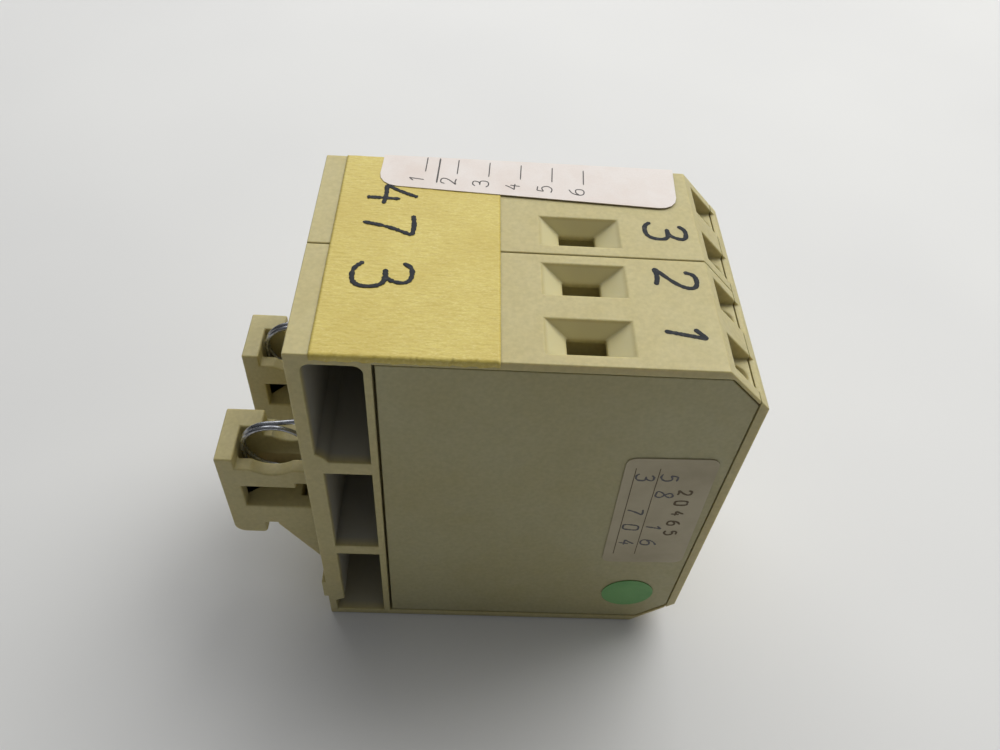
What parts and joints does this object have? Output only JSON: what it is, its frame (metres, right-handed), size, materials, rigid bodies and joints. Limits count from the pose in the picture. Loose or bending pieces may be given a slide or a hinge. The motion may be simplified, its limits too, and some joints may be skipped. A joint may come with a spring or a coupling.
{
  "type": "rail-mounted control relay",
  "caption": "Beige modular relay unit for rail mounting, with spring latches at its back, screw clamp terminals under wire funnels, and open pockets along one rear edge.",
  "frame": {"origin": "on the bottom end face's plane, under the middle of the whole object, rail latches included", "axes": "+X from the rail side to the front cover, +Y across the modules from the open side to the closed side, +Z from the bottom end to the top end"},
  "size_m": [0.083, 0.0455, 0.0763],
  "materials": {
    "case": "slightly satin beige moulding, faintly yellowed",
    "cover": "satin grey-beige moulding",
    "spring_steel": "bright drawn wire",
    "screw": "zinc plated",
    "tinned_brass": "dull tinned brass",
    "iron": "varnished soft iron",
    "winding": "enamelled copper wire",
    "board": "solder-masked laminate",
    "black": "black moulding",
    "clear": "clear moulding",
    "can": "sleeved can",
    "ribbon": "grey flat cable",
    "green_lamp": "tinted lens",
    "red_lamp": "tinted lens",
    "tape": "creped ochre masking tape",
    "white_paper": "matt adhesive paper",
    "old_paper": "aged matt adhesive paper",
    "green_paper": "adhesive dot"
  },
  "bodies": {
    "case": {"housing_near": "case", "housing_far": "case", "side_cover_near": "cover", "side_cover_far": "cover", "front_cover": "case", "terminal_bar_1": "tinned_brass", "terminal_bar_2": "tinned_brass", "terminal_bar_3": "tinned_brass", "terminal_bar_4": "tinned_brass", "terminal_bar_5": "tinned_brass", "terminal_bar_6": "tinned_brass", "terminal_bar_7": "tinned_brass", "terminal_bar_8": "tinned_brass", "circuit_board_near": "board", "circuit_board_far": "board", "transformer_core": "iron", "transformer_coil": "winding", "filter_capacitor": "can", "board_link_ribbon": "ribbon", "power_lamp": "green_lamp", "relay_lamp": "red_lamp", "relay_base": "black", "relay_cover": "clear", "relay_yoke": "iron", "relay_core": "iron", "relay_bobbin": "black", "relay_coil": "winding", "fixed_contact_closed": "tinned_brass", "fixed_contact_open": "tinned_brass", "tape_band": "tape", "top_label": "white_paper", "test_label": "old_paper", "green_dot": "green_paper"},
    "latch_near": {"rail_latch_near": "case", "latch_spring_near": "spring_steel"},
    "latch_far": {"rail_latch_far": "case", "latch_spring_far": "spring_steel"},
    "clamp_1": {"clamp_plate_1": "tinned_brass"},
    "screw_1": {"terminal_screw_1": "screw"},
    "clamp_2": {"clamp_plate_2": "tinned_brass"},
    "screw_2": {"terminal_screw_2": "screw"},
    "clamp_3": {"clamp_plate_3": "tinned_brass"},
    "screw_3": {"terminal_screw_3": "screw"},
    "clamp_4": {"clamp_plate_4": "tinned_brass"},
    "screw_4": {"terminal_screw_4": "screw"},
    "clamp_5": {"clamp_plate_5": "tinned_brass"},
    "screw_5": {"terminal_screw_5": "screw"},
    "clamp_6": {"clamp_plate_6": "tinned_brass"},
    "screw_6": {"terminal_screw_6": "screw"},
    "clamp_7": {"clamp_plate_7": "tinned_brass"},
    "screw_7": {"terminal_screw_7": "screw"},
    "clamp_8": {"clamp_plate_8": "tinned_brass"},
    "screw_8": {"terminal_screw_8": "screw"},
    "armature": {"relay_armature": "iron", "contact_spring": "tinned_brass"}
  },
  "joints": [
    {"name": "latch_slide_near", "type": "slide", "parent": "case", "child": "latch_near", "axis": [0, 0, 1], "range_m": [0, 0.003], "stiffness_N_per_m": 200, "springref_m": -0.002, "deforming": ["latch_spring_near"]},
    {"name": "latch_slide_far", "type": "slide", "parent": "case", "child": "latch_far", "axis": [0, 0, 1], "range_m": [0, 0.003], "stiffness_N_per_m": 200, "springref_m": -0.002, "deforming": ["latch_spring_far"]},
    {"name": "clamp_slide_1", "type": "slide", "parent": "case", "child": "clamp_1", "axis": [0.7071, 0, 0.7071], "range_m": [0, 0.0018]},
    {"name": "screw_turn_1", "type": "hinge", "parent": "clamp_1", "child": "screw_1", "pos_m": [0.02407, -0.01704, 0.05782], "axis": [0.7071, 0, 0.7071], "range_deg": [0, 1080]},
    {"name": "clamp_slide_2", "type": "slide", "parent": "case", "child": "clamp_2", "axis": [0.7071, 0, 0.7071], "range_m": [0, 0.0018]},
    {"name": "screw_turn_2", "type": "hinge", "parent": "clamp_2", "child": "screw_2", "pos_m": [0.02407, -0.00546, 0.05782], "axis": [0.7071, 0, 0.7071], "range_deg": [0, 1080]},
    {"name": "clamp_slide_3", "type": "slide", "parent": "case", "child": "clamp_3", "axis": [0.7071, 0, 0.7071], "range_m": [0, 0.0018]},
    {"name": "screw_turn_3", "type": "hinge", "parent": "clamp_3", "child": "screw_3", "pos_m": [0.02407, 0.00556, 0.05782], "axis": [0.7071, 0, 0.7071], "range_deg": [0, 1080]},
    {"name": "clamp_slide_4", "type": "slide", "parent": "case", "child": "clamp_4", "axis": [0.7071, 0, 0.7071], "range_m": [0, 0.0018]},
    {"name": "screw_turn_4", "type": "hinge", "parent": "clamp_4", "child": "screw_4", "pos_m": [0.02407, 0.01714, 0.05782], "axis": [0.7071, 0, 0.7071], "range_deg": [0, 1080]},
    {"name": "clamp_slide_5", "type": "slide", "parent": "case", "child": "clamp_5", "axis": [0.7071, 0, -0.7071], "range_m": [0, 0.0018]},
    {"name": "screw_turn_5", "type": "hinge", "parent": "clamp_5", "child": "screw_5", "pos_m": [0.02407, -0.01704, 0.01818], "axis": [0.7071, 0, -0.7071], "range_deg": [0, 1080]},
    {"name": "clamp_slide_6", "type": "slide", "parent": "case", "child": "clamp_6", "axis": [0.7071, 0, -0.7071], "range_m": [0, 0.0018]},
    {"name": "screw_turn_6", "type": "hinge", "parent": "clamp_6", "child": "screw_6", "pos_m": [0.02407, -0.00546, 0.01818], "axis": [0.7071, 0, -0.7071], "range_deg": [0, 1080]},
    {"name": "clamp_slide_7", "type": "slide", "parent": "case", "child": "clamp_7", "axis": [0.7071, 0, -0.7071], "range_m": [0, 0.0018]},
    {"name": "screw_turn_7", "type": "hinge", "parent": "clamp_7", "child": "screw_7", "pos_m": [0.02407, 0.00556, 0.01818], "axis": [0.7071, 0, -0.7071], "range_deg": [0, 1080]},
    {"name": "clamp_slide_8", "type": "slide", "parent": "case", "child": "clamp_8", "axis": [0.7071, 0, -0.7071], "range_m": [0, 0.0018]},
    {"name": "screw_turn_8", "type": "hinge", "parent": "clamp_8", "child": "screw_8", "pos_m": [0.02407, 0.01714, 0.01818], "axis": [0.7071, 0, -0.7071], "range_deg": [0, 1080]},
    {"name": "armature_tilt", "type": "hinge", "parent": "case", "child": "armature", "pos_m": [0.00905, 0.0058, 0.038], "axis": [0, 0, 1], "range_deg": [0, 3.4]}
  ],
  "couplings": [
    {"joint": "screw_turn_1", "follows": "clamp_slide_1", "rad_per_m": 10472},
    {"joint": "screw_turn_2", "follows": "clamp_slide_2", "rad_per_m": 10472},
    {"joint": "screw_turn_3", "follows": "clamp_slide_3", "rad_per_m": 10472},
    {"joint": "screw_turn_4", "follows": "clamp_slide_4", "rad_per_m": 10472},
    {"joint": "screw_turn_5", "follows": "clamp_slide_5", "rad_per_m": 10472},
    {"joint": "screw_turn_6", "follows": "clamp_slide_6", "rad_per_m": 10472},
    {"joint": "screw_turn_7", "follows": "clamp_slide_7", "rad_per_m": 10472},
    {"joint": "screw_turn_8", "follows": "clamp_slide_8", "rad_per_m": 10472}
  ]
}
